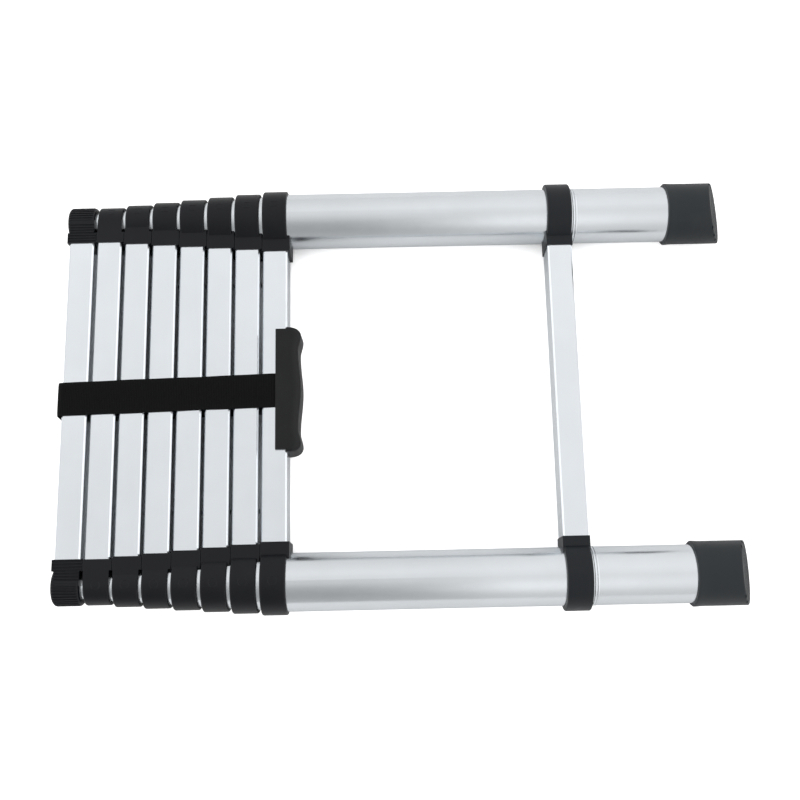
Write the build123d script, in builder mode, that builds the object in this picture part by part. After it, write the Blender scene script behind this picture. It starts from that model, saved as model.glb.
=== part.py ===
"""Telescoping ladder, closed and lying on its front.

X runs along the stiles, from the top caps at -X to the feet at +X. Y runs along the rungs, and
+Y is the climber's left. Z is up, square to the ladder's face. The origin is on the ground,
under the middle of the closed ladder. Sizes are in millimetres.

Section 1 is the widest pair of tubes. Each further section slides out of the one before it.
Section k carries rung k + 1 at its top, and rung 1 sits low on section 1.
"""
from build123d import *
import os
from math import radians, sqrt, tan

# Whole ladder
SECTION_COUNT = 8
OPEN_PITCH = 300.0  # rung to rung, drawn out
RUNG_GAP = 3.7  # between two rungs, pushed in
STILE_SPACING = 383.0  # between the two stile axes
SLIDE_GAP = 0.16  # left between two stacked sockets

# Tubes
TUBE_OD = 58.2  # section 1
TUBE_WALL = 1.4
TUBE_GAP = 0.85  # radial gap between one tube and the next
TUBE_OVERLAP = 90.0  # of an open tube still inside the one before it
BEAD_HEIGHT = 0.45
BEAD_WIDTH = 2.0
BEAD_STEP = 2.6  # between the two beads below rung 1

# Rungs
RUNG_WIDTH = 25.5  # along the stile
RUNG_DEPTH = 35.0
RUNG_WALL = 1.5
RUNG_EDGE = 1.6  # bevel on the long edges
RUNG_END_GAP = 0.2

# Collars, caps and brackets
COLLAR_WALL = 3.2
COLLAR_ROUND = 1.6
COLLAR_END = 2.2  # thickness of the end that closes the gap round the next tube
CAP_WALL = 5.8
CAP_REACH = 15.9  # past the centre of the top rung
CAP_END = 4.0
CAP_ROUND = 3.8
CAP_RIB_COUNT = 38
CAP_RIB_RADIUS = 0.85
CAP_FACE_RIBS = 7  # on each flat face of a cap
CAP_RIB_PITCH = 3.0
CAP_RIB_START = 6.0  # from the stile's axis to the first of them
CAP_RIB_INSET = 1.4  # from their ends to the cap's ends
BRACKET_WALL = 5.2
SOCKET_REACH = 6.8  # past the ring, along the rung
BRACKET_REACH = 4.4
SOCKET_WALL = 1.2  # over and under the rung
SOCKET_SIDE = 0.9  # beside the rung
SOCKET_EDGE = 0.8
SOCKET_START = 14.5  # from the stile's axis to where the socket closes the gap between collars
RUNG_SEAT = 1.4  # plastic left between the rung's end and the tube
FIT = 0.1  # clearance of pushed-together pieces of one section

# Locks
PIN_RADIUS = 3.5
PIN_GAP = 0.3  # round the pin, and before its tip
PIN_TAIL = 12.0  # of the pin inside its thumb slide
LOCK_TRAVEL = 6.0
LOCK_BLOCK_LENGTH = 22.0
LOCK_BLOCK_WIDTH = 14.0
LOCK_BLOCK_HEIGHT = 13.0
LOCK_BLOCK_SETBACK = 9.0  # from the rung's end to the block
STEM_WIDTH = 6.0
STEM_LENGTH = 8.0
THUMB_WIDTH = 16.0
THUMB_LENGTH = 18.0
THUMB_HEIGHT = 4.0
THUMB_GAP = 0.4  # between the thumb button and the rung

# Guide bushes at the lower ends of the inner tubes
BUSH_LENGTH = 18.0
BUSH_END = 2.5
BUSH_RUN = 0.15  # clearance to the tube that it slides in

# Feet
FOOT_WALL = 3.1
FOOT_LIP_WALL = 3.5
FOOT_LIP = 5.0
FOOT_START = 115.0  # from rung 1 to the foot's lip
FOOT_REACH = 171.0  # from rung 1 to the sole, on the axis
FOOT_SLANT = 22.0  # degrees between the sole and a square end
FOOT_SOLE = 12.0  # rubber past the tube's end, where it is shortest
FOOT_EDGE = 1.6
TREAD_WIDTH = 3.0
TREAD_DEPTH = 1.5
TREAD_PITCH = 9.0

# Carrying handle and strap
HANDLE_LENGTH = 131.0
HANDLE_Y = 3.2  # from the ladder's middle to the handle's
HANDLE_INSET = 2.4  # from the grip's end to the flange's
HANDLE_FLANGE = 3.4
HANDLE_START = 1.0  # from the middle of rung 2 to the flange's edge
HANDLE_BULGE = 14.2  # of the grip's crown and shoulders past the rung's edge
HANDLE_WAIST = 11.4
HANDLE_END = 5.0  # of the grip's flat ends past the rung's edge
HANDLE_WAIST_Y = 41.0
HANDLE_SHOULDER_Y = 57.0
HANDLE_ROUND = 7.0
STRAP_WIDTH = 35.0
STRAP_THICKNESS = 1.6
STRAP_CLEARANCE = 0.4
STRAP_SLACK = 5.4  # between the top rung and the strap's loop
STRAP_CORNER = 5.0
STRAP_TUCK = 6.0  # of the strap's end under the handle's flange

# Rivets in the sides of the rungs
RIVET_Y = 120.0
LOW_RIVET_Y = 131.0  # on rung 1
RIVET_RADIUS = 3.2
RIVET_HEIGHT = 0.9
RIVET_SHANK = 1.6
RIVET_SHANK_LENGTH = 4.0

SIDES = {"left": 1, "right": -1}


def tube_radius(section):
    """Outer radius of a section's tubes."""
    return TUBE_OD / 2 - (section - 1) * (TUBE_WALL + TUBE_GAP)


def ring_radius(section):
    """Outer radius of the collar on a section."""
    return tube_radius(section) + COLLAR_WALL


CLOSED_PITCH = RUNG_WIDTH + RUNG_GAP
COLLAR_LENGTH = RUNG_WIDTH
AXIS_HEIGHT = TUBE_OD / 2 + BRACKET_WALL
STILE_Y = STILE_SPACING / 2
FOOT_RADIUS = TUBE_OD / 2 + FOOT_WALL
FOOT_RISE = FOOT_RADIUS * tan(radians(FOOT_SLANT))
CAP_RADIUS = tube_radius(SECTION_COUNT) + CAP_WALL
STRAP_REACH = RUNG_WIDTH / 2 + STRAP_SLACK + STRAP_THICKNESS  # past the centre of the top rung
TOP_END = (SECTION_COUNT - 1) * CLOSED_PITCH + max(CAP_REACH, STRAP_REACH)
LOW_END = OPEN_PITCH + FOOT_REACH + FOOT_RISE
RUNG_2_X = (TOP_END - LOW_END) / 2
RUNG_1_X = RUNG_2_X + OPEN_PITCH
SOLE_X = RUNG_1_X + FOOT_REACH
TUBE_1_END = SOLE_X - FOOT_RISE - FOOT_SOLE
LIP_SIDE = CLOSED_PITCH - SLIDE_GAP - RUNG_WIDTH / 2 - SOCKET_SIDE  # lip edge to rung centre


def rung_x(number):
    """Place of a rung along the stiles, in the closed ladder."""
    if number == 1:
        return RUNG_1_X
    return RUNG_2_X - (number - 2) * CLOSED_PITCH


def stile_plane(x, side):
    """Plane square to a stile at x, with its local x up and its local y along the rungs."""
    return Plane(origin=(x, side * STILE_Y, AXIS_HEIGHT), x_dir=(0, 0, 1), z_dir=(1, 0, 0))


def inward_plane(x, side, distance):
    """Plane square to the rungs, a distance from the stile's axis, facing the other stile."""
    origin = (x, side * (STILE_Y - distance), AXIS_HEIGHT)
    return Plane(origin=origin, x_dir=(1, 0, 0), z_dir=(0, -side, 0))


def radial_plane(side):
    """Plane through a stile's axis, local x along the stile and local y away from the axis."""
    return Plane(origin=(0, side * STILE_Y, AXIS_HEIGHT), x_dir=(1, 0, 0), z_dir=(0, 0, 1))


def stile_axis(side):
    return Axis((0, side * STILE_Y, AXIS_HEIGHT), (1, 0, 0))


def pin_hole(x, side, inner, outer, radius):
    """Cut a round hole along Y between two distances from the stile's axis."""
    with BuildSketch(inward_plane(x, side, inner)) as hole:
        Circle(radius)
    extrude(hole.sketch, amount=outer - inner, mode=Mode.SUBTRACT)


def save(piece, node):
    piece.part.label = node
    export_step(piece.part, "parts/" + node + ".step")


def section_tubes(section):
    """The left and right tube of one section."""
    outer = tube_radius(section)
    number = section + 1
    start = rung_x(number) - COLLAR_LENGTH / 2 + COLLAR_END
    if section == SECTION_COUNT:
        start = rung_x(number) - CAP_REACH + CAP_END
    end = TUBE_1_END if section == 1 else rung_x(number) + OPEN_PITCH + TUBE_OVERLAP
    with BuildPart() as tubes:
        for side in SIDES.values():
            with BuildSketch(stile_plane(start, side)):
                Circle(outer)
                Circle(outer - TUBE_WALL, mode=Mode.SUBTRACT)
            extrude(amount=end - start)
            if section == 1:
                for index in range(2):
                    bead_x = RUNG_1_X + RUNG_WIDTH / 2 + SOCKET_SIDE + BEAD_STEP * (index + 0.6)
                    with BuildSketch(radial_plane(side)):
                        with Locations((bead_x, outer - BEAD_HEIGHT / 2)):
                            Ellipse(BEAD_WIDTH / 2, BEAD_HEIGHT * 1.5)
                            Rectangle(BEAD_WIDTH, 2 * BEAD_HEIGHT, align=(Align.CENTER, Align.MAX),
                                      mode=Mode.SUBTRACT)
                    revolve(axis=stile_axis(side))
            if section < SECTION_COUNT:
                inner = outer - 2 * TUBE_WALL
                pin_hole(rung_x(number), side, inner, outer + 1, PIN_RADIUS + PIN_GAP)
            if section > 1:
                inner = outer - 2 * TUBE_WALL
                lock_x = rung_x(number) + OPEN_PITCH
                pin_hole(lock_x, side, inner, outer + 1, PIN_RADIUS + PIN_GAP)
    save(tubes, f"section_{section}_tubes")


def rung_socket(x, side, ring, reach, low):
    """Add the square socket that holds a rung's end, with its lip on the foot side."""
    height = RUNG_DEPTH + 2 * SOCKET_WALL
    with BuildSketch(inward_plane(x, side, 0)) as core:
        Rectangle(RUNG_WIDTH, height)
    extrude(core.sketch, amount=ring)
    centre = x + (LIP_SIDE - low) / 2
    with BuildSketch(inward_plane(centre, side, SOCKET_START)) as box:
        RectangleRounded(low + LIP_SIDE, height, SOCKET_EDGE)
    extrude(box.sketch, amount=ring + reach - SOCKET_START)


def rung_pocket(x, side, seat, far):
    """Cut the pocket that the rung's end is pushed into."""
    with BuildSketch(inward_plane(x, side, seat)) as pocket:
        Rectangle(RUNG_WIDTH + 2 * FIT, RUNG_DEPTH + 2 * FIT)
    extrude(pocket.sketch, amount=far - seat, mode=Mode.SUBTRACT)


def ring_blank(side, radius, start, end, edge):
    """Add a round blank about a stile, with its two outer edges rounded."""
    with BuildSketch(radial_plane(side)) as profile:
        with BuildLine():
            FilletPolyline((start, 0), (start, radius), (end, radius), (end, 0), radius=edge)
            Line((end, 0), (start, 0))
        make_face()
    revolve(profile.sketch, axis=stile_axis(side))


def collars(section):
    """The left and right collar that join a section's tubes to its rung."""
    number = section + 1
    x = rung_x(number)
    outer = tube_radius(section)
    ring = ring_radius(section)
    half = COLLAR_LENGTH / 2
    with BuildPart() as pair:
        for side in SIDES.values():
            ring_blank(side, ring, x - half, x + half, COLLAR_ROUND)
            rung_socket(x, side, ring, SOCKET_REACH, RUNG_WIDTH / 2 + SOCKET_SIDE)
            with BuildSketch(stile_plane(x - half + COLLAR_END, side)):
                Circle(outer + FIT)
            extrude(amount=2 * COLLAR_LENGTH, mode=Mode.SUBTRACT)
            with BuildSketch(stile_plane(x - half - 1, side)):
                Circle(tube_radius(section + 1) + TUBE_GAP / 2)
            extrude(amount=COLLAR_END + 2, mode=Mode.SUBTRACT)
            rung_pocket(x, side, outer + FIT + RUNG_SEAT, ring + SOCKET_REACH + 1)
            pin_hole(x, side, outer - 1, outer + RUNG_SEAT + 1, PIN_RADIUS + PIN_GAP)
    save(pair, f"rung_{number}_collars")


def top_caps():
    """The ribbed caps that close the top of the last section and hold the top rung."""
    number = SECTION_COUNT + 1
    x = rung_x(number)
    outer = tube_radius(SECTION_COUNT)
    base = CAP_RADIUS - CAP_RIB_RADIUS
    start = x - CAP_REACH
    end = x + COLLAR_LENGTH / 2
    with BuildPart() as pair:
        for side in SIDES.values():
            with BuildSketch(stile_plane(start, side)):
                Circle(base)
                with PolarLocations(base, CAP_RIB_COUNT):
                    Circle(CAP_RIB_RADIUS)
            ribbed = extrude(amount=end - start, mode=Mode.PRIVATE)
            with BuildSketch(radial_plane(side), mode=Mode.PRIVATE) as outline:
                with BuildLine():
                    FilletPolyline((start, 0), (start, CAP_RADIUS), (end, CAP_RADIUS), (end, 0),
                                   radius=CAP_ROUND)
                    Line((end, 0), (start, 0))
                make_face()
            rounded = revolve(outline.sketch, axis=stile_axis(side), mode=Mode.PRIVATE)
            add(ribbed & rounded)
            rung_socket(x, side, base, SOCKET_REACH + CAP_RIB_RADIUS, CAP_REACH - CAP_RIB_RADIUS)
            face = RUNG_DEPTH / 2 + SOCKET_WALL
            with BuildSketch(stile_plane(start + CAP_RIB_INSET, side)) as ribs:
                for index in range(CAP_FACE_RIBS):
                    across = side * (CAP_RIB_START + index * CAP_RIB_PITCH)
                    with Locations((face, across), (-face, across)):
                        Circle(CAP_RIB_RADIUS)
            extrude(ribs.sketch, amount=end - start - 2 * CAP_RIB_INSET)
            with BuildSketch(stile_plane(start + CAP_END, side)):
                Circle(outer + FIT)
            extrude(amount=2 * COLLAR_LENGTH, mode=Mode.SUBTRACT)
            rung_pocket(x, side, outer + FIT + RUNG_SEAT, CAP_RADIUS + SOCKET_REACH + 1)
    save(pair, "top_caps")


def bracket(name, side):
    """One of the two rings that hold rung 1 on the outside of section 1."""
    radius = AXIS_HEIGHT
    half = COLLAR_LENGTH / 2
    with BuildPart() as ring:
        ring_blank(side, radius, RUNG_1_X - half, RUNG_1_X + half, COLLAR_ROUND)
        width = RUNG_WIDTH + 2 * SOCKET_SIDE
        with BuildSketch(inward_plane(RUNG_1_X, side, 0)):
            RectangleRounded(width, RUNG_DEPTH + 2 * SOCKET_WALL, SOCKET_EDGE)
        extrude(amount=radius + BRACKET_REACH)
        with BuildSketch(stile_plane(RUNG_1_X - COLLAR_LENGTH, side)):
            Circle(TUBE_OD / 2 + FIT)
        extrude(amount=2 * COLLAR_LENGTH, mode=Mode.SUBTRACT)
        seat = TUBE_OD / 2 + FIT + RUNG_SEAT
        rung_pocket(RUNG_1_X, side, seat, radius + BRACKET_REACH + 1)
    save(ring, "rung_1_bracket_" + name)


def rung_end(number):
    """Distance from the stile's axis to the end of a rung."""
    section = max(number - 1, 1)
    return tube_radius(section) + FIT + RUNG_SEAT + RUNG_END_GAP


def has_lock(number):
    return 2 <= number <= SECTION_COUNT


def rivet_place(number):
    """The side face that a rung's rivets are in, which way it faces, and their place along the rung."""
    if number == 1:
        return RUNG_1_X - RUNG_WIDTH / 2, -1, LOW_RIVET_Y
    return rung_x(number) + RUNG_WIDTH / 2, 1, RIVET_Y


def rung(number):
    """A rung: a hollow rectangular extrusion, with slots in its front face for the locks."""
    end = rung_end(number)
    with BuildPart() as bar:
        with BuildSketch(inward_plane(rung_x(number), 1, end)):
            outline = Rectangle(RUNG_WIDTH, RUNG_DEPTH)
            chamfer(outline.vertices(), RUNG_EDGE)
            Rectangle(RUNG_WIDTH - 2 * RUNG_WALL, RUNG_DEPTH - 2 * RUNG_WALL, mode=Mode.SUBTRACT)
        extrude(amount=STILE_SPACING - 2 * end)
        for side in SIDES.values():
            if has_lock(number):
                slot = STEM_LENGTH + LOCK_TRAVEL + 2 * PIN_GAP
                centre = lock_centre(number) + LOCK_TRAVEL / 2
                face = AXIS_HEIGHT - RUNG_DEPTH / 2 - 1
                y = side * (STILE_Y - centre)
                with BuildSketch(Plane.XY.offset(face)):
                    with Locations((rung_x(number), y)):
                        Rectangle(STEM_WIDTH + 2 * PIN_GAP, slot)
                extrude(amount=RUNG_WALL + 2, mode=Mode.SUBTRACT)
            face, outward, rivet_y = rivet_place(number)
            rivet_x = face - 2 * RUNG_WALL * outward
            with BuildSketch(Plane(origin=(rivet_x, side * rivet_y, AXIS_HEIGHT),
                                   x_dir=(0, 1, 0), z_dir=(outward, 0, 0))):
                Circle(RIVET_SHANK)
            extrude(amount=3 * RUNG_WALL, mode=Mode.SUBTRACT)
    save(bar, f"rung_{number}")


def lock_centre(number):
    """Distance from the stile's axis to the middle of a lock's thumb slide."""
    return rung_end(number) + LOCK_BLOCK_SETBACK + LOCK_BLOCK_LENGTH / 2


def lock(number, name, side):
    """A lock: the steel pin that enters the next tube, and the thumb slide that draws it."""
    x = rung_x(number)
    tip = tube_radius(number) + PIN_GAP
    block = lock_centre(number) - LOCK_BLOCK_LENGTH / 2
    tail = block + PIN_TAIL
    low = AXIS_HEIGHT - RUNG_DEPTH / 2
    stem_top = AXIS_HEIGHT - LOCK_BLOCK_HEIGHT / 2
    y = side * (STILE_Y - lock_centre(number))
    with BuildPart() as pin:
        with BuildSketch(inward_plane(x, side, tip)):
            Circle(PIN_RADIUS)
        extrude(amount=tail - tip)
    with BuildPart() as slide:
        with BuildSketch(inward_plane(x, side, block)):
            Rectangle(LOCK_BLOCK_WIDTH, LOCK_BLOCK_HEIGHT)
        extrude(amount=LOCK_BLOCK_LENGTH)
        with BuildSketch(inward_plane(x, side, block)):
            Circle(PIN_RADIUS)
        extrude(amount=PIN_TAIL, mode=Mode.SUBTRACT)
        with BuildSketch(Plane.XY.offset(low - THUMB_GAP)):
            with Locations((x, y)):
                Rectangle(STEM_WIDTH, STEM_LENGTH)
        extrude(amount=stem_top - low + THUMB_GAP)
        with BuildSketch(Plane.XY.offset(low - THUMB_GAP - THUMB_HEIGHT)):
            with Locations((x, y)):
                RectangleRounded(THUMB_WIDTH, THUMB_LENGTH, THUMB_HEIGHT)
        extrude(amount=THUMB_HEIGHT)
        chamfer(slide.faces().sort_by(Axis.Z)[0].edges(), THUMB_HEIGHT / 4)
    piece = Compound(label=f"lock_{number}_{name}", children=[pin.part, slide.part])
    export_step(piece, f"parts/lock_{number}_{name}.step")


def bushes(section):
    """The plastic guide bushes on the lower ends of an inner section's tubes."""
    outer = tube_radius(section)
    run = tube_radius(section - 1) - TUBE_WALL - BUSH_RUN
    end = rung_x(section + 1) + OPEN_PITCH + TUBE_OVERLAP
    with BuildPart() as pair:
        for side in SIDES.values():
            with BuildSketch(stile_plane(end - BUSH_LENGTH, side)):
                Circle(run)
            extrude(amount=BUSH_LENGTH + BUSH_END)
            with BuildSketch(stile_plane(end - BUSH_LENGTH - 1, side)):
                Circle(outer)
            extrude(amount=BUSH_LENGTH + 1, mode=Mode.SUBTRACT)
            with BuildSketch(stile_plane(end - 1, side)):
                Circle(outer - TUBE_WALL)
            extrude(amount=BUSH_END + 2, mode=Mode.SUBTRACT)
    save(pair, f"section_{section}_bushes")


def foot(name, side):
    """A rubber foot on section 1, with a slanted, grooved sole."""
    start = RUNG_1_X + FOOT_START
    far = SOLE_X + 2 * FOOT_RISE
    lip = TUBE_OD / 2 + FOOT_LIP_WALL
    sole = Plane(origin=(SOLE_X, side * STILE_Y, AXIS_HEIGHT), x_dir=(0, 1, 0),
                 z_dir=(1, 0, tan(radians(FOOT_SLANT))))
    with BuildPart() as boot:
        with BuildSketch(radial_plane(side)):
            with BuildLine():
                Line((start, 0), (start, lip - 1))
                Line((start, lip - 1), (start + 1, lip))
                Line((start + 1, lip), (start + 2, lip))
                Spline((start + 2, lip), (start + FOOT_LIP, FOOT_RADIUS + 0.2),
                       (start + 2 * FOOT_LIP, FOOT_RADIUS), tangents=((1, 0), (1, 0)))
                Line((start + 2 * FOOT_LIP, FOOT_RADIUS), (far, FOOT_RADIUS))
                Line((far, FOOT_RADIUS), (far, 0))
                Line((far, 0), (start, 0))
            make_face()
        revolve(axis=stile_axis(side))
        split(bisect_by=sole, keep=Keep.BOTTOM)
        fillet(boot.faces().sort_by(Axis.X)[-1].edges(), FOOT_EDGE)
        with BuildSketch(stile_plane(start - 1, side)):
            Circle(TUBE_OD / 2 + FIT)
        extrude(amount=TUBE_1_END + FIT - start + 1, mode=Mode.SUBTRACT)
        with BuildSketch(sole):
            with GridLocations(0, TREAD_PITCH, 1, 6):
                Rectangle(3 * FOOT_RADIUS, TREAD_WIDTH)
        extrude(amount=-TREAD_DEPTH, mode=Mode.SUBTRACT)
    save(boot, "foot_" + name)


def carry_handle():
    """The moulded grip round the foot side of rung 2, slotted for the strap's ends."""
    x = RUNG_2_X
    half = HANDLE_LENGTH / 2
    edge = x + RUNG_WIDTH / 2
    height = RUNG_DEPTH + 2 * HANDLE_FLANGE
    with BuildPart() as handle:
        with BuildSketch(Plane(origin=(0, HANDLE_Y, AXIS_HEIGHT - height / 2))):
            with BuildLine():
                Line((x + HANDLE_START, half - HANDLE_INSET), (x + HANDLE_START, HANDLE_INSET - half))
                Line((x + HANDLE_START, HANDLE_INSET - half), (edge, HANDLE_INSET - half))
                Line((edge, HANDLE_INSET - half), (edge, -half))
                Line((edge, -half), (edge + HANDLE_END, -half))
                Spline((edge + HANDLE_END, -half), (edge + HANDLE_BULGE, -HANDLE_SHOULDER_Y),
                       (edge + HANDLE_WAIST, -HANDLE_WAIST_Y), (edge + HANDLE_BULGE, 0),
                       (edge + HANDLE_WAIST, HANDLE_WAIST_Y),
                       (edge + HANDLE_BULGE, HANDLE_SHOULDER_Y), (edge + HANDLE_END, half),
                       tangents=((1, 0), (-1, 0)))
                Line((edge + HANDLE_END, half), (edge, half))
                Line((edge, half), (edge, half - HANDLE_INSET))
                Line((edge, half - HANDLE_INSET), (x + HANDLE_START, half - HANDLE_INSET))
            make_face()
        extrude(amount=height)
        with BuildSketch(Plane.XZ.offset(-half - HANDLE_Y)):
            with Locations((x + HANDLE_START, AXIS_HEIGHT)):
                RectangleRounded(RUNG_WIDTH + 2 * HANDLE_BULGE, height, HANDLE_ROUND)
        extrude(amount=HANDLE_LENGTH, mode=Mode.INTERSECT)
        with BuildSketch(Plane.XZ.offset(half + 1 - HANDLE_Y)):
            with Locations((x, AXIS_HEIGHT)):
                Rectangle(RUNG_WIDTH + 2 * FIT, RUNG_DEPTH + 2 * FIT)
        extrude(amount=-HANDLE_LENGTH - 2, mode=Mode.SUBTRACT)
        slot_width = STRAP_WIDTH + 4 * STRAP_CLEARANCE
        slot_height = RUNG_DEPTH + 2 * STRAP_THICKNESS + 4 * STRAP_CLEARANCE
        with BuildSketch(Plane.YZ.offset(x)):
            with Locations((0, AXIS_HEIGHT)):
                Rectangle(slot_width, slot_height)
        extrude(amount=HANDLE_START + STRAP_TUCK + 1, mode=Mode.SUBTRACT)
    save(handle, "carry_handle")


def carry_strap():
    """The webbing round the closed stack of rungs, from the handle and back to it."""
    tuck = RUNG_2_X + HANDLE_START + STRAP_TUCK
    loop = rung_x(SECTION_COUNT + 1) - STRAP_REACH
    outside = RUNG_DEPTH / 2 + STRAP_CLEARANCE + STRAP_THICKNESS
    with BuildPart() as strap:
        with BuildSketch(Plane.XZ.offset(-STRAP_WIDTH / 2)):
            for inset, mode in ((0, Mode.ADD), (STRAP_THICKNESS, Mode.SUBTRACT)):
                top = AXIS_HEIGHT + outside - inset
                bottom = AXIS_HEIGHT - outside + inset
                with BuildLine():
                    FilletPolyline((tuck, top), (loop + inset, top), (loop + inset, bottom),
                                   (tuck, bottom), radius=STRAP_CORNER - inset)
                    Line((tuck, bottom), (tuck, top))
                make_face(mode=mode)
        extrude(amount=STRAP_WIDTH)
    save(strap, "carry_strap")


def rivets(name, numbers):
    """The rivets in the side faces of the rungs of one section."""
    with BuildPart() as group:
        for number in numbers:
            face, outward, rivet_y = rivet_place(number)
            for side in SIDES.values():
                y = side * rivet_y
                sphere = (RIVET_RADIUS ** 2 + RIVET_HEIGHT ** 2) / (2 * RIVET_HEIGHT)
                plane = Plane(origin=(face, y, AXIS_HEIGHT), x_dir=(outward, 0, 0), z_dir=(0, 0, 1))
                rise = sphere - RIVET_HEIGHT
                middle = (sqrt(sphere ** 2 - (RIVET_RADIUS / 2) ** 2) - rise, RIVET_RADIUS / 2)
                with BuildSketch(plane):
                    with BuildLine():
                        ThreePointArc((RIVET_HEIGHT, 0), middle, (0, RIVET_RADIUS))
                        Polyline((0, RIVET_RADIUS), (0, RIVET_SHANK),
                                 (-RIVET_SHANK_LENGTH, RIVET_SHANK), (-RIVET_SHANK_LENGTH, 0),
                                 (RIVET_HEIGHT, 0))
                    make_face()
                revolve(axis=Axis((face, y, AXIS_HEIGHT), (1, 0, 0)))
    save(group, name)


os.makedirs("parts", exist_ok=True)
for index in range(1, SECTION_COUNT + 1):
    section_tubes(index)
    if index < SECTION_COUNT:
        collars(index)
    if index > 1:
        bushes(index)
for index in range(1, SECTION_COUNT + 2):
    rung(index)
for index in range(2, SECTION_COUNT + 1):
    for side_name, side_sign in SIDES.items():
        lock(index, side_name, side_sign)
for side_name, side_sign in SIDES.items():
    bracket(side_name, side_sign)
    foot(side_name, side_sign)
top_caps()
carry_handle()
carry_strap()
rivets("section_1_rivets", (1, 2))
for index in range(2, SECTION_COUNT + 1):
    rivets(f"section_{index}_rivets", (index + 1,))
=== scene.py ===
"""Looks of the telescoping ladder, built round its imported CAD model."""
import math

import bmesh
import bpy
import numpy as np
from mathutils import Matrix, Vector


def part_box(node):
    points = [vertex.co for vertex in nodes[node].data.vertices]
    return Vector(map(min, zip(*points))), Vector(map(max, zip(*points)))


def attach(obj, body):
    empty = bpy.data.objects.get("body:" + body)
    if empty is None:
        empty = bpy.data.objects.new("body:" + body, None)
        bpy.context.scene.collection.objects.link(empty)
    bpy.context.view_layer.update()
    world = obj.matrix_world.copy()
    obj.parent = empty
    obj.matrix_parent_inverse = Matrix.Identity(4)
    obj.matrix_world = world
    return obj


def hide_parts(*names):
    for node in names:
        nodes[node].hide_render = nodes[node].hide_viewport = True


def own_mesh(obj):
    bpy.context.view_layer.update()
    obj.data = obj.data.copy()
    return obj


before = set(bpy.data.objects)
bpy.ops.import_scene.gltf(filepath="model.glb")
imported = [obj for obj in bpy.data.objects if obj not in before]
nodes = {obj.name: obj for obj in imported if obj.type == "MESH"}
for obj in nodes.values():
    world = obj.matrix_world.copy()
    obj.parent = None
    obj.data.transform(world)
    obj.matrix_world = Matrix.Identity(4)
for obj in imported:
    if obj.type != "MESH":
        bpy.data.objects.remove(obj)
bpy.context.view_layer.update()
MM = 0.001

# ---------------------------------------------------------------- camera

CAMERA_PLACE = (0.12544, -0.2480, 1.0795)  # from the middle of rung 2
CAMERA_AZIMUTH = 0.65
CAMERA_ELEVATION = 77.43
CAMERA_ROLL = -0.58
CAMERA_LENS = 47.97
SENSOR_WIDTH = 36.0


def middle(node):
    """The middle of a CAD node's box."""
    low, high = (Vector(corner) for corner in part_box(node))
    return (low + high) / 2


def add_camera():
    """A camera that looks down at the ladder, its right and up axes worked out from its three angles."""
    azimuth, elevation, roll = (math.radians(a) for a in (CAMERA_AZIMUTH, CAMERA_ELEVATION, CAMERA_ROLL))
    look = Vector((math.sin(azimuth) * math.cos(elevation), math.cos(azimuth) * math.cos(elevation),
                   -math.sin(elevation)))
    right = Vector((math.cos(azimuth), -math.sin(azimuth), 0))
    up = right.cross(look)
    turned_right = right * math.cos(roll) + up * math.sin(roll)
    turned_up = up * math.cos(roll) - right * math.sin(roll)
    data = bpy.data.cameras.new("camera")
    data.lens = CAMERA_LENS
    data.sensor_width = SENSOR_WIDTH
    data.clip_start = 0.01
    camera = bpy.data.objects.new("camera", data)
    axes = Matrix((turned_right, turned_up, -look)).transposed()
    camera.matrix_world = Matrix.Translation(middle("rung_2") + Vector(CAMERA_PLACE)) @ axes.to_4x4()
    bpy.context.scene.collection.objects.link(camera)
    bpy.context.scene.camera = camera


add_camera()

# ---------------------------------------------------------------- strap sizes

STRAP_WIDTH = 35.0 * MM
YARN_PITCH = 0.9  # millimetres across the strap, as on its UV map
STRAP_THICKNESS = 1.6 * MM
STRAP_RIB_PITCH = 1.7 * MM
STRAP_RIB_HEIGHT = 0.30 * MM
STRAP_AT_HANDLE = 1.85 * MM
STRAP_AT_LOOP = -3.35 * MM
STRAP_CORNER = 4.2 * MM
LOOP_BOW = 0.9 * MM
LOOP_TILT = 2.2 * MM  # nearer the rung at the top, further from it underneath

# ---------------------------------------------------------------- shader helpers


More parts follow.
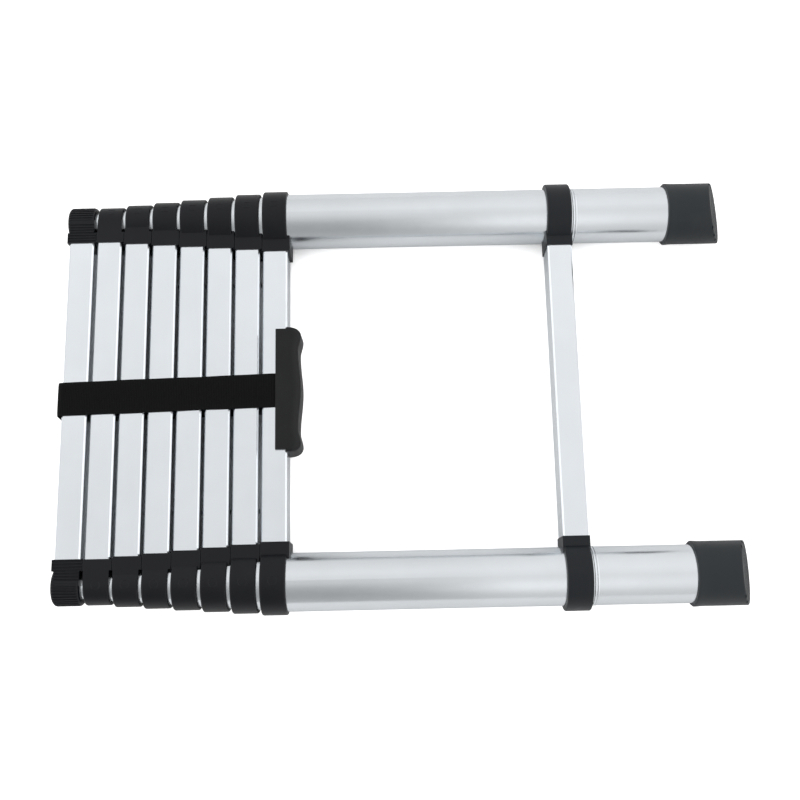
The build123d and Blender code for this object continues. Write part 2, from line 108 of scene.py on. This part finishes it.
class Tree:
    """Short calls for laying out a node tree."""

    def __init__(self, tree):
        self.tree = tree

    def node(self, kind, **values):
        """A node with some of its properties set."""
        made = self.tree.nodes.new(kind)
        for name, value in values.items():
            setattr(made, name, value)
        return made

    def link(self, source, target):
        self.tree.links.new(source, target)

    def feed(self, socket, value):
        """Link a socket to another one, or set it to a plain value."""
        if isinstance(value, bpy.types.NodeSocket):
            self.link(value, socket)
        else:
            socket.default_value = value

    def sum(self, operation, first, second=0.0, third=None, clamp=False):
        """The result of one Math node."""
        made = self.node("ShaderNodeMath", operation=operation, use_clamp=clamp)
        self.feed(made.inputs[0], first)
        self.feed(made.inputs[1], second)
        if third is not None:
            self.feed(made.inputs[2], third)
        return made.outputs[0]

    def mix(self, share, first, second):
        """A colour between two others."""
        made = self.node("ShaderNodeMix", data_type="RGBA")
        self.feed(made.inputs["Factor"], share)
        self.feed(made.inputs["A"], first)
        self.feed(made.inputs["B"], second)
        return made.outputs["Result"]

    def spread(self, value, low, high, to_low, to_high, smooth=True):
        """A value mapped from one range to another, and kept in it."""
        made = self.node("ShaderNodeMapRange", interpolation_type="SMOOTHSTEP" if smooth else "LINEAR")
        for socket, number in zip(made.inputs[:5], (value, low, high, to_low, to_high)):
            self.feed(socket, number)
        return made.outputs[0]

    def stretched(self, vector, scale):
        """A vector with each of its components scaled."""
        made = self.node("ShaderNodeVectorMath", operation="MULTIPLY")
        self.feed(made.inputs[0], vector)
        self.feed(made.inputs[1], scale)
        return made.outputs[0]

    def noise(self, vector, scale, detail=3.0, roughness=0.55):
        """Noise from 0 to 1 along a vector."""
        made = self.node("ShaderNodeTexNoise")
        self.feed(made.inputs["Vector"], vector)
        self.feed(made.inputs["Scale"], scale)
        self.feed(made.inputs["Detail"], detail)
        self.feed(made.inputs["Roughness"], roughness)
        return made.outputs["Fac"]


def new_group(name, inputs, outputs):
    """An empty shader group with named sockets: inputs (name, kind, default), outputs (name, kind)."""
    group = bpy.data.node_groups.new(name, "ShaderNodeTree")
    for label, kind, default in inputs:
        socket = group.interface.new_socket(label, in_out="INPUT", socket_type="NodeSocket" + kind)
        if default is not None:
            socket.default_value = default
    for label, kind in outputs:
        group.interface.new_socket(label, in_out="OUTPUT", socket_type="NodeSocket" + kind)
    tree = Tree(group)
    return group, tree, tree.node("NodeGroupInput").outputs, tree.node("NodeGroupOutput").inputs


def drawn_lines_group():
    """Long fine lines left by drawing or extruding metal: noise stretched along the metal's length."""
    group, tree, given, result = new_group(
        "drawn_lines", [("Vector", "Vector", None), ("Stretch", "Vector", (1, 60, 60)), ("Fineness", "Float", 40.0)],
        [("Lines", "Float"), ("Clouds", "Float"), ("Hairlines", "Float")])
    along = tree.stretched(given["Vector"], given["Stretch"])
    fine = tree.noise(along, given["Fineness"], 4.0, 0.7)
    broad = tree.noise(along, tree.sum("MULTIPLY", given["Fineness"], 0.18), 2.0, 0.5)
    tree.link(tree.sum("ADD", tree.sum("MULTIPLY", fine, 0.65), tree.sum("MULTIPLY", broad, 0.35)), result["Lines"])
    tree.link(tree.noise(given["Vector"], 14.0, 4.0, 0.6), result["Clouds"])
    tree.link(tree.noise(along, tree.sum("MULTIPLY", given["Fineness"], 1.8), 2.0, 0.5), result["Hairlines"])
    return group


def moulded_grain_group():
    """The fine leathery grain of a spark-eroded mould, and slow changes of gloss."""
    group, tree, given, result = new_group(
        "moulded_grain", [("Vector", "Vector", None), ("Fineness", "Float", 1800.0)],
        [("Grain", "Float"), ("Gloss", "Float")])
    cells = tree.node("ShaderNodeTexVoronoi", feature="SMOOTH_F1")
    tree.link(given["Vector"], cells.inputs["Vector"])
    tree.link(given["Fineness"], cells.inputs["Scale"])
    fine = tree.noise(given["Vector"], tree.sum("MULTIPLY", given["Fineness"], 1.7), 2.0, 0.6)
    tree.link(tree.sum("ADD", tree.sum("MULTIPLY", cells.outputs["Distance"], 0.6),
                       tree.sum("MULTIPLY", fine, 0.4)), result["Grain"])
    tree.link(tree.noise(given["Vector"], 45.0, 5.0, 0.6), result["Gloss"])
    return group


def handling_group():
    """A mask of light handling: soft smudges and a few thin scuffs."""
    group, tree, given, result = new_group(
        "handling", [("Vector", "Vector", None), ("Amount", "Float", 0.5)],
        [("Smudges", "Float"), ("Scuffs", "Float")])
    smudges = tree.spread(tree.noise(given["Vector"], 22.0, 6.0, 0.65), 0.48, 0.72, 0.0, 1.0)
    scuff_lines = tree.noise(tree.stretched(given["Vector"], (12, 160, 160)), 9.0, 2.0, 0.5)
    thin = tree.spread(scuff_lines, 0.70, 0.76, 0.0, 1.0)
    where = tree.spread(tree.noise(given["Vector"], 30.0, 2.0, 0.5), 0.55, 0.65, 0.0, 1.0)
    tree.link(tree.sum("MULTIPLY", smudges, given["Amount"]), result["Smudges"])
    tree.link(tree.sum("MULTIPLY", tree.sum("MULTIPLY", thin, where), given["Amount"]), result["Scuffs"])
    return group


GROUPS = {"lines": drawn_lines_group(), "grain": moulded_grain_group(), "handling": handling_group()}


def new_material(name):
    """A material with its tree emptied down to a Principled shader and its output."""
    material = bpy.data.materials.new(name)
    material.use_nodes = True
    material.node_tree.nodes.clear()
    tree = Tree(material.node_tree)
    shader = tree.node("ShaderNodeBsdfPrincipled")
    output = tree.node("ShaderNodeOutputMaterial")
    tree.link(shader.outputs[0], output.inputs[0])
    place = tree.node("ShaderNodeTexCoord").outputs["Object"]
    return material, tree, shader, place


def placed(tree, name, **values):
    """One of the shared groups, with its inputs set or linked."""
    made = tree.node("ShaderNodeGroup", node_tree=GROUPS[name])
    for label, value in values.items():
        tree.feed(made.inputs[label], value)
    return made.outputs


def bumped(tree, shader, height, distance, strength=1.0):
    """Feed a height in metres-scaled steps to the shader's normal."""
    bump = tree.node("ShaderNodeBump")
    bump.inputs["Strength"].default_value = strength
    bump.inputs["Distance"].default_value = distance
    tree.link(height, bump.inputs["Height"])
    tree.link(bump.outputs[0], shader.inputs["Normal"])


def anodised(name, tint, stretch, roughness, line_height):
    """Satin anodised aluminium: drawn lines along its length, faint clouds and smudges in its gloss."""
    material, tree, shader, place = new_material(name)
    lines = placed(tree, "lines", Vector=place, Stretch=stretch)
    marks = placed(tree, "handling", Vector=place, Amount=0.5)
    shader.inputs["Metallic"].default_value = 1.0
    deep = tuple(c * 0.96 for c in tint)
    tree.link(tree.mix(tree.spread(lines["Clouds"], 0.3, 0.7, 0, 1), (*tint, 1), (*deep, 1)),
              shader.inputs["Base Color"])
    rough = tree.sum("MULTIPLY_ADD", lines["Lines"], 0.06, roughness - 0.03)
    rough = tree.sum("MULTIPLY_ADD", marks["Smudges"], 0.04, rough)
    tree.link(tree.sum("MULTIPLY_ADD", marks["Scuffs"], -0.05, rough), shader.inputs["Roughness"])
    bumped(tree, shader, lines["Hairlines"], line_height)
    return material


def moulded(name, colour, worn, roughness, grain_height, shine, fineness=1800.0):
    """Moulded plastic or rubber: fine grain, uneven gloss, and paler dusty smudges."""
    material, tree, shader, place = new_material(name)
    grain = placed(tree, "grain", Vector=place, Fineness=fineness)
    marks = placed(tree, "handling", Vector=place, Amount=0.35)
    dusty = tree.mix(marks["Smudges"], (*colour, 1), (*worn, 1))
    tree.link(tree.mix(tree.sum("MULTIPLY", marks["Scuffs"], 0.6), dusty, (*[c * 2.2 for c in worn], 1)),
              shader.inputs["Base Color"])
    shader.inputs["Specular IOR Level"].default_value = shine
    tree.link(tree.sum("MULTIPLY_ADD", grain["Gloss"], 0.16, roughness - 0.08), shader.inputs["Roughness"])
    bumped(tree, shader, grain["Grain"], grain_height)
    return material


def webbing_material():
    """Woven polyester: yarns along and across the strap, and ribs across it, from its UV map; the colour is painted
    shade, darker in the grooves between ribs and yarns and paler on their crests, with some random fuzz.

    The ribs' relief is in the strap's mesh.
    """
    material, tree, shader, place = new_material("black_webbing")
    map_node = tree.node("ShaderNodeUVMap", uv_map="weave")
    split = tree.node("ShaderNodeSeparateXYZ")
    tree.link(map_node.outputs[0], split.inputs[0])
    along, across = split.outputs[0], split.outputs[1]
    yarns = tree.sum("SINE", tree.sum("MULTIPLY", across, 2 * math.pi / YARN_PITCH))
    crossing = tree.sum("SINE", tree.sum("MULTIPLY_ADD", along, 2 * math.pi / (STRAP_RIB_PITCH / MM),
                                        tree.sum("MULTIPLY", across, math.pi / YARN_PITCH)))
    weave = tree.sum("MULTIPLY", yarns, crossing)
    fuzz = tree.noise(place, 2600.0, 2.0, 0.6)
    height = tree.sum("ADD", weave, fuzz)
    ribs = tree.sum("SINE", tree.sum("MULTIPLY", along, 2 * math.pi / (STRAP_RIB_PITCH / MM)))
    # painted shade: the base colour is darker in the grooves between ribs and yarns and paler on their crests, with
    # random fuzz from the noise
    painted_groove_shade = tree.spread(tree.sum("MULTIPLY_ADD", ribs, 0.9, height), -1.1, 2.2, 0.0, 1.0, smooth=False)
    tree.link(tree.mix(painted_groove_shade, (0.0002, 0.0002, 0.0002, 1), (0.0110, 0.0112, 0.0116, 1)),
              shader.inputs["Base Color"])
    shader.inputs["Roughness"].default_value = 0.72
    shader.inputs["Specular IOR Level"].default_value = 0.10
    shader.inputs["Sheen Weight"].default_value = 0.01
    shader.inputs["Sheen Roughness"].default_value = 0.45
    shader.inputs["Sheen Tint"].default_value = (0.6, 0.62, 0.66, 1)
    bumped(tree, shader, height, 0.00018)
    return material


TUBE_TINT = (0.805, 0.84, 0.87)
RUNG_TINT = (0.88, 0.92, 0.955)
ALONG_X = (1.0, 55.0, 55.0)
ALONG_Y = (55.0, 1.0, 55.0)
FINISHES = {
    "tube": anodised("anodised_tube", TUBE_TINT, ALONG_X, 0.19, 0.000018),
    "rung": anodised("anodised_rung", RUNG_TINT, ALONG_Y, 0.24, 0.000010),
    "rivet": anodised("rivet_aluminium", TUBE_TINT, (30.0, 30.0, 30.0), 0.22, 0.000002),
    "nylon": moulded("black_nylon", (0.0016, 0.0022, 0.0042), (0.0065, 0.0074, 0.0092), 0.38, 0.00002, 0.29),
    "bracket": moulded("bracket_nylon", (0.0050, 0.0075, 0.0105), (0.010, 0.012, 0.014), 0.40, 0.00002, 0.30),
    "bush": moulded("bush_nylon", (0.02, 0.02, 0.021), (0.03, 0.03, 0.03), 0.35, 0.00002, 0.5),
    "foot": moulded("foot_rubber", (0.0105, 0.0148, 0.0180), (0.022, 0.026, 0.029), 0.46, 0.00004, 0.38, 1300.0),
    "grip": moulded("grip_plastic", (0.0062, 0.0066, 0.0072), (0.012, 0.0125, 0.013), 0.46, 0.00004, 0.26, 1500.0),
    "webbing": webbing_material(),
}


def finish_of(node):
    """The finish that a CAD node's name calls for."""
    words = (("_tubes", "tube"), ("_rivets", "rivet"), ("_bushes", "bush"), ("foot_", "foot"),
             ("carry_handle", "grip"), ("carry_strap", "webbing"), ("lock_", "nylon"), ("_collars", "nylon"),
             ("top_caps", "nylon"), ("bracket", "bracket"))
    return next((finish for word, finish in words if word in node), "rung")


def dress(piece, finish):
    """Put one finish in all of a piece's material slots."""
    material = FINISHES[finish]
    if not piece.material_slots:
        piece.data.materials.append(material)
    for slot in piece.material_slots:
        slot.material = material


for node_name, node in nodes.items():
    dress(node, finish_of(node_name))

# ---------------------------------------------------------------- meshes from grids


def grid_faces(rows, columns, wrap_rows=False, wrap_columns=False):
    """Quads over a rows by columns grid of points, joined round where it wraps."""
    row = np.arange(rows if wrap_rows else rows - 1)[:, None]
    column = np.arange(columns if wrap_columns else columns - 1)[None, :]
    next_row, next_column = (row + 1) % rows, (column + 1) % columns
    corners = (row * columns + column, row * columns + next_column,
               next_row * columns + next_column, next_row * columns + column)
    return np.stack([c.ravel() for c in np.broadcast_arrays(*corners)], axis=1)


def make_piece(name, points, faces, body, finish, replaces=(), smooth=True, extra=()):
    """A mesh object from arrays, riding on a CAD body, with its finish and material slot."""
    mesh = bpy.data.meshes.new(name)
    every = [list(map(int, f)) for f in extra]
    mesh.from_pydata(points.reshape(-1, 3).tolist(), [], faces.tolist() + every)
    mesh.update()
    if smooth:
        mesh.shade_smooth()
    piece = bpy.data.objects.new(name, mesh)
    bpy.context.scene.collection.objects.link(piece)
    dress(piece, finish)
    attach(piece, body)
    if replaces:
        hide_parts(*replaces)
    return piece


def recalculated(piece):
    """Turn a closed piece's faces outwards."""
    shape = bmesh.new()
    shape.from_mesh(piece.data)
    bmesh.ops.recalc_face_normals(shape, faces=shape.faces)
    shape.to_mesh(piece.data)
    shape.free()


# ---------------------------------------------------------------- carrying strap

def rounded_path(corners, radius, step):
    """Points at even steps along straight runs joined by rounded corners, and their unit normals.

    A corner is a quarter circle, skewed a little where its two runs aren't square to each other.
    """
    places = []
    for index, corner in enumerate(corners):
        if index in (0, len(corners) - 1):
            places.append(np.array([corner]))
            continue
        before = (np.array(corners[index - 1]) - corner) / np.linalg.norm(np.array(corners[index - 1]) - corner)
        after = (np.array(corners[index + 1]) - corner) / np.linalg.norm(np.array(corners[index + 1]) - corner)
        turn = np.linspace(0, np.pi / 2, 12)[:, None]
        centre = corner + radius * (before + after)
        places.append(centre - radius * (after * np.cos(turn) + before * np.sin(turn)))
    line = np.concatenate(places)
    lengths = np.concatenate([[0], np.cumsum(np.linalg.norm(np.diff(line, axis=0), axis=1))])
    distance = np.arange(0, lengths[-1], step)
    points = np.stack([np.interp(distance, lengths, line[:, k]) for k in range(2)], axis=1)
    ahead = np.gradient(points, axis=0)
    ahead /= np.linalg.norm(ahead, axis=1)[:, None]
    return distance, points, np.stack([ahead[:, 1], -ahead[:, 0]], axis=1)


def carrying_strap():
    """Webbing round the stack: a flat rounded profile carried along a U-shaped path in X and Z.

    Point = path + normal * height(v) + Y * width(v), where the height is half the thickness, shaped by
    ribs that are a sine of the distance along the path. The strap drifts in Y in step with X, and its
    upright run leans, nearer the top rung at its upper end, and bows in towards it.
    """
    low, high = (Vector(corner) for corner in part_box("carry_strap"))
    half = STRAP_THICKNESS / 2
    loop = low.x + half
    corners = [(high.x, high.z - half), (loop + LOOP_TILT, high.z - half), (loop - LOOP_TILT, low.z + half),
               (high.x, low.z + half)]
    distance, path, normal = rounded_path(corners, STRAP_CORNER, STRAP_RIB_PITCH / 6)
    normal = -normal if normal[0, 1] < 0 else normal
    turn = np.linspace(0, 2 * np.pi, 40, endpoint=False)
    across = np.sign(np.cos(turn)) * np.abs(np.cos(turn)) ** 0.55
    lift = np.sign(np.sin(turn)) * np.abs(np.sin(turn)) ** 0.30
    rib = np.sin(2 * np.pi * distance / STRAP_RIB_PITCH)[:, None]
    rib = rib * STRAP_RIB_HEIGHT / 2 * (1 - np.abs(across) ** 8)[None, :]
    height = (half - STRAP_RIB_HEIGHT / 2 + rib) * lift[None, :]
    share = (path[:, 0] - low.x) / (high.x - low.x)
    drift = STRAP_AT_LOOP + (STRAP_AT_HANDLE - STRAP_AT_LOOP) * share
    width = STRAP_WIDTH / 2 + 0.15 * MM * np.sin(distance * 55.0) + 0.1 * MM * np.sin(distance * 131.0)
    upright = np.clip(1 - (path[:, 0] - low.x) / STRAP_CORNER, 0, 1)
    bow = LOOP_BOW * upright * np.cos(np.pi * (path[:, 1] - (low.z + high.z) / 2) / (high.z - low.z)) ** 2
    x = (path[:, 0] + bow)[:, None] + normal[:, 0, None] * height
    z = path[:, 1, None] + normal[:, 1, None] * height
    y = drift[:, None] + width[:, None] * across[None, :]
    points = np.stack([x, y, z], axis=-1)
    rows, columns = y.shape
    faces = grid_faces(rows, columns, wrap_columns=True)
    caps = [range(columns)[::-1], range((rows - 1) * columns, rows * columns)]
    strap = make_piece("carry_strap_webbing", points, faces, "section_8", "webbing",
                       replaces=("carry_strap",), extra=caps)
    layer = strap.data.uv_layers.new(name="weave")
    corner_points = np.empty(len(strap.data.loops), np.int32)
    strap.data.loops.foreach_get("vertex_index", corner_points)
    flat = np.stack([np.broadcast_to(distance[:, None] / MM, y.shape).ravel(),
                     np.broadcast_to(across[None, :] * STRAP_WIDTH / 2 / MM, y.shape).ravel()], axis=1)
    layer.data.foreach_set("uv", flat[corner_points].astype(np.float32).ravel())
    recalculated(strap)
    return strap, float(distance[-1])


strap, strap_length = carrying_strap()
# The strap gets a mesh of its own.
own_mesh(strap)

# ---------------------------------------------------------------- carrying handle

HANDLE_ROUND_X = 9.0 * MM
HANDLE_ROUND_Z = 6.5 * MM
HANDLE_EDGE = 0.9 * MM
HANDLE_BULGE = 14.2 * MM  # past the rung's side
HANDLE_WAIST = 11.4 * MM
HANDLE_TIP = 4.0 * MM
HANDLE_WAIST_Y = 41.0 * MM
HANDLE_SHOULDER_Y = 56.5 * MM
HANDLE_INSET = 2.4 * MM
HANDLE_END_ROUND = 3.5 * MM
RUNG_CLEARANCE = 0.12 * MM


def quarter_arc(centre_x, centre_z, radius_x, radius_z, start, count):
    """A rounded corner for every station along the handle, from an angle in quarter turns."""
    angle = (start + np.linspace(0, 1, count)) * np.pi / 2
    return np.stack([centre_x[:, None] + radius_x[:, None] * np.cos(angle),
                     centre_z[:, None] + radius_z[:, None] * np.sin(angle)], axis=-1)


def grip_reach(away, half):
    """How far the grip stands out from the rung, at a distance along it from its middle.

    Crown, waist and shoulder are joined by half waves of a cosine, and the end is a quarter ellipse.
    """
    inner = (1 - np.cos(np.pi * np.clip(away / HANDLE_WAIST_Y, 0, 1))) / 2
    outer = (1 - np.cos(np.pi * np.clip((away - HANDLE_WAIST_Y) / (HANDLE_SHOULDER_Y - HANDLE_WAIST_Y), 0, 1))) / 2
    end = np.clip((away - HANDLE_SHOULDER_Y) / (half - HANDLE_SHOULDER_Y), 0, 1)
    dip = HANDLE_BULGE - HANDLE_WAIST
    return HANDLE_BULGE - dip * (inner - outer) - (HANDLE_BULGE - HANDLE_TIP) * (1 - np.sqrt(1 - end ** 2))


def carrying_handle():
    """The grip round rung 2: a C-shaped profile in X and Z carried along Y.

    The profile's outer side is grip_reach away from the rung, its corners are quarter ellipses, its outside
    draws in along a quarter circle at both ends, and its two flanges stop a little before them.
    """
    low, high = (Vector(corner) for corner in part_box("carry_handle"))
    rung_low, rung_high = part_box("rung_2")
    edge = rung_high[0]
    half = (high.y - low.y) / 2
    flange = half - HANDLE_INSET
    run = np.concatenate([np.linspace(-half, -flange, 14), np.linspace(-flange, flange, 220)[1:-1],
                          np.linspace(flange, half, 14)])
    run = np.insert(run, [14, run.size - 14], [-flange + 0.02 * MM, flange - 0.02 * MM])
    away = np.abs(run)
    near_end = np.clip(away - (half - HANDLE_END_ROUND), 0, HANDLE_END_ROUND)
    inset = HANDLE_END_ROUND - np.sqrt(HANDLE_END_ROUND ** 2 - near_end ** 2)
    reach = np.maximum(grip_reach(away, half), HANDLE_TIP)
    right = edge + reach
    left = np.where(away < flange, low.x, edge - 0.8 * MM)
    top, bottom = high.z - inset, low.z + inset
    inner_top = np.full_like(run, rung_high[2] + RUNG_CLEARANCE)
    inner_bottom = np.full_like(run, rung_low[2] - RUNG_CLEARANCE)
    top, bottom = np.maximum(top, inner_top + 0.6 * MM), np.minimum(bottom, inner_bottom - 0.6 * MM)
    inner_right = np.full_like(run, edge + RUNG_CLEARANCE)
    round_x = np.minimum(HANDLE_ROUND_X, reach * 0.8)
    round_z = np.full_like(run, HANDLE_ROUND_Z)
    small = np.minimum(HANDLE_EDGE, (top - inner_top) * 0.4)
    tiny = small * 0.3
    parts = [quarter_arc(right - round_x, top - round_z, round_x, round_z, 0, 14),
             quarter_arc(left + small, top - small, small, small, 1, 6),
             quarter_arc(left + tiny, inner_top + tiny, tiny, tiny, 2, 3),
             np.stack([inner_right, inner_top], axis=-1)[:, None],
             np.stack([inner_right, inner_bottom], axis=-1)[:, None],
             quarter_arc(left + tiny, inner_bottom - tiny, tiny, tiny, 1, 3),
             quarter_arc(left + small, bottom + small, small, small, 2, 6),
             quarter_arc(right - round_x, bottom + round_z, round_x, round_z, 3, 14)]
    profile = np.concatenate(parts, axis=1)
    y = (low.y + high.y) / 2 + run
    points = np.stack([profile[..., 0], np.broadcast_to(y[:, None], profile.shape[:2]), profile[..., 1]], axis=-1)
    rows, columns = profile.shape[:2]
    faces = grid_faces(rows, columns, wrap_columns=True)
    caps = [range(columns)[::-1], range((rows - 1) * columns, rows * columns)]
    handle = make_piece("carry_handle_grip", points, faces, "section_1", "grip",
                        replaces=("carry_handle",), extra=caps)
    recalculated(handle)
    handle.data.set_sharp_from_angle(angle=math.radians(50))
    return handle


carrying_handle()

# ---------------------------------------------------------------- raised marks on the collars

MARK_HEIGHT = 0.4 * MM
MARK_SINK = 0.15 * MM
BAR_LENGTH = 8.5 * MM
BAR_WIDTH = 1.3 * MM
BAR_SPACING = 6.6 * MM
BAR_PLACE = 9.5 * MM  # outwards from the top of the collar, round its ring
RING_RADIUS = 4.2 * MM
RING_WIDTH = 1.1 * MM


def on_ring(axis_y, axis_z, radius, x, along, round_it, lift):
    """Points on a cylinder along X: a flat pattern (along, round_it) wrapped onto it, and lifted off it."""
    turn = round_it / radius
    r = radius + lift
    return np.stack([x + along, axis_y + r * np.sin(turn), axis_z + r * np.cos(turn)], axis=-1)


def raised_bar(name, body, ring, place):
    """A raised bar along a collar: a patch of the ring lifted by a flat-topped hill.

    Height over the patch = mark height * (1 - |u|^6) * (1 - |v|^6), less a little that sinks its rim.
    """
    u, v = np.meshgrid(np.linspace(-1, 1, 17), np.linspace(-1, 1, 9), indexing="ij")
    lift = MARK_HEIGHT * (1 - np.abs(u) ** 6) * (1 - np.abs(v) ** 6) - MARK_SINK
    points = on_ring(*ring, u * BAR_LENGTH / 2, place + v * BAR_WIDTH / 2, lift)
    mark = make_piece(name, points, grid_faces(17, 9), body, "nylon")
    fix_facing(mark, ring)


def raised_ring(name, body, ring, place):
    """A raised circle on a collar: a torus-like band, its height a hill across the band's width."""
    turn, v = np.meshgrid(np.linspace(0, 2 * np.pi, 36, endpoint=False), np.linspace(-1, 1, 7), indexing="ij")
    reach = RING_RADIUS + v * RING_WIDTH / 2
    lift = MARK_HEIGHT * (1 - v ** 4) - MARK_SINK
    points = on_ring(*ring, reach * np.cos(turn), place + reach * np.sin(turn), lift)
    mark = make_piece(name, points, grid_faces(36, 7, wrap_rows=True), body, "nylon")
    fix_facing(mark, ring)


def fix_facing(mark, ring):
    """Turn an open patch so that its faces point away from the ring's axis."""
    axis_y, axis_z = ring[0], ring[1]
    face = mark.data.polygons[len(mark.data.polygons) // 2]
    outward = Vector((0, face.center.y - axis_y, face.center.z - axis_z))
    if face.normal.dot(outward) < 0:
        mark.data.flip_normals()


def collar_marks():
    """Plain marks on the backs of the collars: two bars on each left one, and a circle on each right one."""
    for number in range(2, 9):
        low, high = (Vector(corner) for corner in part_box(f"rung_{number}_collars"))
        radius = (high.z - low.z) / 2
        body = f"section_{number - 1}"
        left = (high.y - radius, middle(f"rung_{number}_collars").z, radius, middle(f"rung_{number}").x)
        right = (low.y + radius, *left[1:])
        for index, shift in enumerate((-0.5, 0.5)):
            raised_bar(f"collar_{number}_left_mark_{index + 1}", body, left, BAR_PLACE + shift * BAR_SPACING)
        raised_ring(f"collar_{number}_right_mark", body, right, 0.0)


collar_marks()

# ---------------------------------------------------------------- floor and light

FLOOR_SIZE = 8.0
FLOOR_LIFT = 0.80
SHELTER_REACH = 0.15


def floor():
    """A plain pale floor. Seen directly in the open it is lifted to white, and the metal mirrors it unlifted."""
    half = FLOOR_SIZE / 2
    mesh = bpy.data.meshes.new("floor")
    mesh.from_pydata([(-half, -half, 0), (half, -half, 0), (half, half, 0), (-half, half, 0)], [], [(0, 1, 2, 3)])
    piece = bpy.data.objects.new("floor", mesh)
    bpy.context.scene.collection.objects.link(piece)
    material, tree, shader, place = new_material("pale_floor")
    shader.inputs["Base Color"].default_value = (0.82, 0.82, 0.82, 1)
    shader.inputs["Roughness"].default_value = 0.9
    shader.inputs["Specular IOR Level"].default_value = 0.1
    seen = tree.node("ShaderNodeLightPath").outputs["Is Camera Ray"]
    shelter = tree.node("ShaderNodeAmbientOcclusion", samples=8)
    shelter.inputs["Distance"].default_value = SHELTER_REACH
    open_floor = tree.spread(shelter.outputs["AO"], 0.10, 0.34, 0.0, FLOOR_LIFT)
    shader.inputs["Emission Color"].default_value = (1, 1, 1, 1)
    tree.link(tree.sum("MULTIPLY", seen, open_floor), shader.inputs["Emission Strength"])
    piece.data.materials.append(material)


CLEAR_SIDE = ((-180, 0.80), (-84, 0.84), (-60, 0.90), (-36, 0.93), (-22, 0.93), (-10, 0.87), (0, 0.83), (12, 0.86),
              (36, 0.90), (52, 0.84), (66, 0.74), (84, 0.68), (180, 0.70))
STAND_SIDE = ((-180, 0.80), (-84, 0.76), (-60, 0.82), (-36, 0.89), (-22, 0.90), (-12, 0.81), (0, 0.73), (12, 0.62),
              (24, 0.48), (38, 0.39), (60, 0.37), (84, 0.46), (180, 0.60))
SIDE_LEVEL = 1.3  # of the panels at the two ends of the room
BACKDROP_LEVEL = 1.0  # where the floor ends
LAMP_ANGLE = 38.0
LAMP_SPREAD = 25.0
LAMP_LEVEL = 0.34


def soft_room():
    """A white studio all round, worked out from the direction of view into it.

    Its brightness depends on the angle from overhead towards the front, with one curve for the side where
    a dark stand is and one for the clear side. A soft lamp stands between the two, and a bright panel at
    each end of the room.
    """
    world = bpy.data.worlds.new("studio")
    world.use_nodes = True
    bpy.context.scene.world = world
    world.node_tree.nodes.clear()
    tree = Tree(world.node_tree)
    direction = tree.node("ShaderNodeTexCoord").outputs["Generated"]
    split = tree.node("ShaderNodeSeparateXYZ")
    tree.link(direction, split.inputs[0])
    dx, dy, dz = split.outputs
    angle = tree.sum("ARCTAN2", tree.sum("MULTIPLY", dy, -1.0), dz)
    degrees = tree.sum("MULTIPLY", angle, 180 / math.pi)
    turn = tree.sum("MULTIPLY_ADD", degrees, 1 / 360, 0.5)

    def curve(stops):
        """Brightness over the angle from overhead, straight between its stops."""
        ramp = tree.node("ShaderNodeValToRGB")
        elements = ramp.color_ramp.elements
        while len(elements) < len(stops):
            elements.new(0.5)
        for element, (stop, value) in zip(elements, stops):
            element.position = (stop + 180) / 360
            element.color = (value, value, value, 1)
        ramp.color_ramp.interpolation = "LINEAR"
        tree.link(turn, ramp.inputs[0])
        return ramp.outputs[0]

    side = tree.spread(dx, 0.022, 0.078, 0.0, 1.0)
    room = tree.node("ShaderNodeMix", data_type="FLOAT")
    tree.link(side, room.inputs["Factor"])
    tree.link(curve(STAND_SIDE), room.inputs["A"])
    tree.link(curve(CLEAR_SIDE), room.inputs["B"])
    away = tree.sum("DIVIDE", tree.sum("SUBTRACT", degrees, LAMP_ANGLE), LAMP_SPREAD)
    hill = tree.sum("POWER", math.e, tree.sum("MULTIPLY", tree.sum("MULTIPLY", away, away), -1.0))
    width = tree.sum("MULTIPLY", tree.spread(dx, 0.055, 0.085, 0.0, 1.0), tree.spread(dx, 0.12, 0.20, 1.0, 0.0))
    level = tree.sum("MULTIPLY_ADD", tree.sum("MULTIPLY", hill, width), LAMP_LEVEL, room.outputs["Result"])
    panels = tree.node("ShaderNodeMix", data_type="FLOAT")
    tree.link(tree.spread(tree.sum("ABSOLUTE", dx), 0.34, 0.55, 0.0, 1.0), panels.inputs["Factor"])
    tree.link(level, panels.inputs["A"])
    panels.inputs["B"].default_value = SIDE_LEVEL
    level = panels.outputs["Result"]
    behind = tree.node("ShaderNodeMix", data_type="FLOAT")
    tree.link(tree.node("ShaderNodeLightPath").outputs["Is Camera Ray"], behind.inputs["Factor"])
    tree.link(level, behind.inputs["A"])
    behind.inputs["B"].default_value = BACKDROP_LEVEL
    level = behind.outputs["Result"]
    background = tree.node("ShaderNodeBackground")
    background.inputs["Color"].default_value = (1.0, 1.0, 1.0, 1)
    tree.link(level, background.inputs["Strength"])
    output = tree.node("ShaderNodeOutputWorld")
    tree.link(background.outputs[0], output.inputs[0])


floor()
soft_room()
bpy.context.scene.view_settings.view_transform = "Standard"
